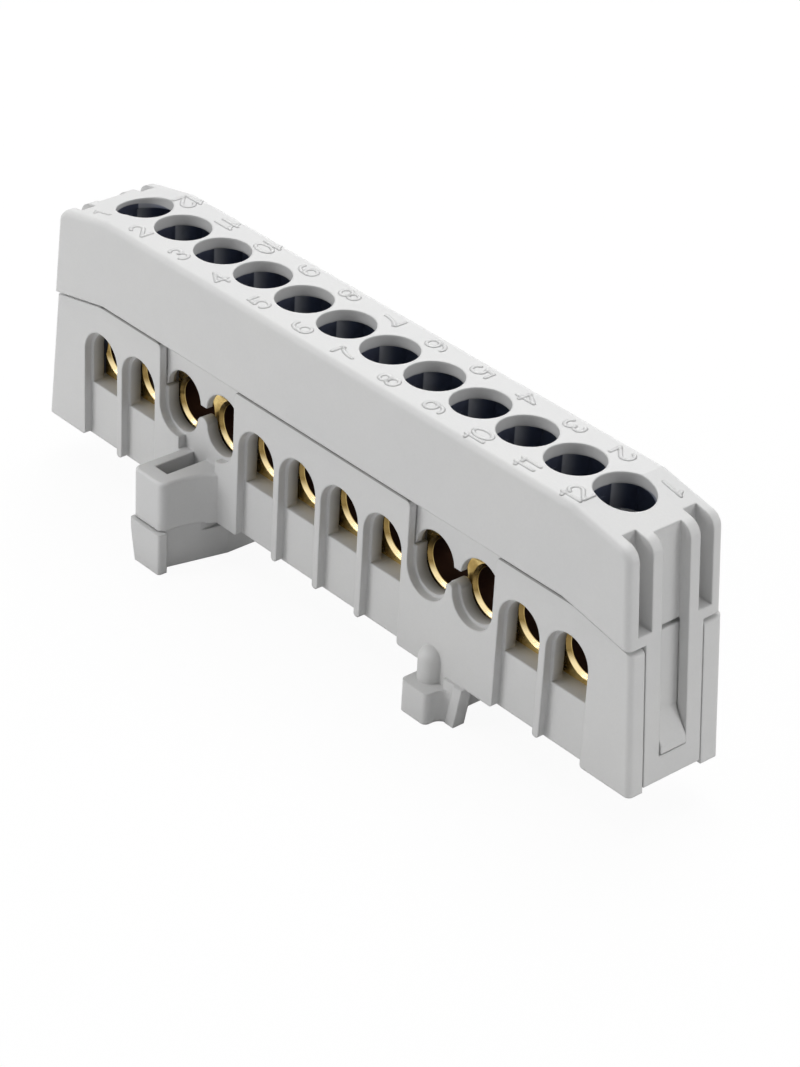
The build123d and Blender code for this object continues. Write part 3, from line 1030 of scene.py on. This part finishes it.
@dataclass
class RailFoot:
    """The sliding latch and its spring."""

    plastic: MouldedPlastic = MouldedPlastic("moulded latch")
    wire: SpringWire = SpringWire()

    def build(self) -> None:
        """Dress the latch and make the spring."""
        dress("rail_latch", self.plastic.build())
        dress("latch_spring", self.wire.build())
        self._spring()

    def _spring(self) -> None:
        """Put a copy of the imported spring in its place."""
        spring = bpy.data.objects.new("return_spring", frame["nodes"]["latch_spring"].data.copy())
        bpy.context.scene.collection.objects.link(spring)
        low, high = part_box("latch_spring")
        slide = next(joint for joint in frame["joints"] if joint["name"] == "latch_slide")
        travel = slide["range_m"][1]
        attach(spring, "housing")
        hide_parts("latch_spring")
        1 - travel / (high[0] - low[0])
        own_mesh(spring)
        log.info("return_spring: %d faces", len(spring.data.polygons))


@dataclass(frozen=True)
class Lamp:
    """A square area lamp that looks at the block, in metres and watts."""

    name: str
    at: tuple[float, float, float]
    size: float
    power: float

    def build(self) -> None:
        """Hang the lamp."""
        light = bpy.data.lights.new(self.name, "AREA")
        light.shape = "SQUARE"
        light.size = self.size
        light.energy = self.power
        lamp = bpy.data.objects.new(self.name, light)
        lamp.location = self.at
        lamp.rotation_euler = (-Vector(self.at)).to_track_quat("-Z", "Y").to_euler()
        bpy.context.scene.collection.objects.link(lamp)


@dataclass
class Studio:
    """White floor, soft light from above and the camera, whose place and aim are in millimetres."""

    camera_at: tuple[float, float, float] = (218.08, -196.02, 184.07)
    camera_to: tuple[float, float, float] = (6.32, 0.0, 7.68)
    roll_deg: float = 3.27
    lens: float = 111.65
    frame_height: float = 36.0
    nearest: float = 0.01
    furthest: float = 20.0
    ambient: float = 0.22
    floor_half: float = 3.0
    floor_shadow: float = 0.06
    paper: Colour = (0.86, 0.86, 0.86)
    flecks: Texture = Texture(30.0, 3.0)
    fleck_tone: float = 0.99
    fleck_swing: float = 0.02
    lamps: tuple[Lamp, ...] = (
        Lamp("overhead", (0.0, 0.0, 0.90), 0.60, 2.6),
        Lamp("overhead_back", (-0.25, 0.30, 0.75), 0.55, 3.6),
        Lamp("front_fill", (-0.45, -0.70, 0.35), 0.50, 3.7),
        Lamp("end_fill", (0.80, 0.40, 0.30), 0.40, 2.3),
        Lamp("back_fill", (-0.55, 0.75, 0.30), 0.50, 1.8),
    )

    def build(self) -> None:
        """Set the view transform, the world, the floor, the lamps and the camera."""
        scene = bpy.context.scene
        scene.view_settings.view_transform = "Standard"
        self._world(scene)
        self._floor()
        for lamp in self.lamps:
            lamp.build()
        self._camera(scene)

    def _world(self, scene: bpy.types.Scene) -> None:
        """White to the camera and in reflections, dimmer as light."""
        scene.world = bpy.data.worlds.new("studio")
        tree = ShaderTree(scene.world)
        seen = tree.ray("Is Camera Ray").larger(tree.ray("Is Transmission Ray"))
        seen = seen.larger(tree.ray("Is Glossy Ray"))
        strength = tree.node("ShaderNodeMapRange", {}, {"Value": seen, "To Min": self.ambient, "To Max": 1.0})
        light = tree.node("ShaderNodeBackground", {}, {"Color": (1.0, 1.0, 1.0, 1.0), "Strength": strength})
        tree.end(light, "ShaderNodeOutputWorld")

    def _floor(self) -> None:
        """A plain floor under the feet, white to the camera apart from a faint shadow."""
        low = CAD_BOX[0][2]
        half = self.floor_half
        corners = [(-half, -half, low), (half, -half, low), (half, half, low), (-half, half, low)]
        mesh = bpy.data.meshes.new("floor")
        mesh.from_pydata(corners, [], [(0, 1, 2, 3)])
        floor = bpy.data.objects.new("floor", mesh)
        bpy.context.scene.collection.objects.link(floor)
        material = bpy.data.materials.new("white floor")
        tree = ShaderTree(material)
        point, _, _, _ = tree.place()
        flecks = tree.noise(point, self.flecks)
        paper = tree.scaled(self.paper, self.fleck_tone + flecks.swing(self.fleck_swing))
        lit = tree.node("ShaderNodeBsdfDiffuse", {}, {"Color": paper}, "BSDF")
        white = tree.node("ShaderNodeEmission", {}, {"Color": (1, 1, 1, 1), "Strength": 1.0})
        share = tree.ray("Is Camera Ray") * (1 - self.floor_shadow)
        tree.end(tree.node("ShaderNodeMixShader", {}, {0: share, 1: lit, 2: white}))
        mesh.materials.append(material)

    def _camera(self, scene: bpy.types.Scene) -> None:
        """Add the camera at the photograph's viewing angle."""
        at = Vector(self.camera_at) * MM
        ahead = (Vector(self.camera_to) * MM - at).normalized()
        level = ahead.cross(Vector((0, 0, 1))).normalized()
        upright = level.cross(ahead)
        roll = math.radians(self.roll_deg)
        right = level * math.cos(roll) + upright * math.sin(roll)
        up = upright * math.cos(roll) - level * math.sin(roll)
        turn = Matrix((right, up, -ahead)).transposed().to_4x4()
        data = bpy.data.cameras.new("camera")
        data.sensor_fit = "VERTICAL"
        data.sensor_height = self.frame_height
        data.lens = self.lens
        data.clip_start = self.nearest
        data.clip_end = self.furthest
        camera = bpy.data.objects.new("camera", data)
        camera.matrix_world = Matrix.Translation(at) @ turn
        scene.collection.objects.link(camera)
        scene.camera = camera


def main() -> None:
    """Dress the block, light it and set the camera."""
    logging.basicConfig(level=logging.INFO, format="%(message)s")
    Studio().build()
    Housing().build()
    Conductor().build()
    RailFoot().build()


if __name__ == "__main__":
    main()
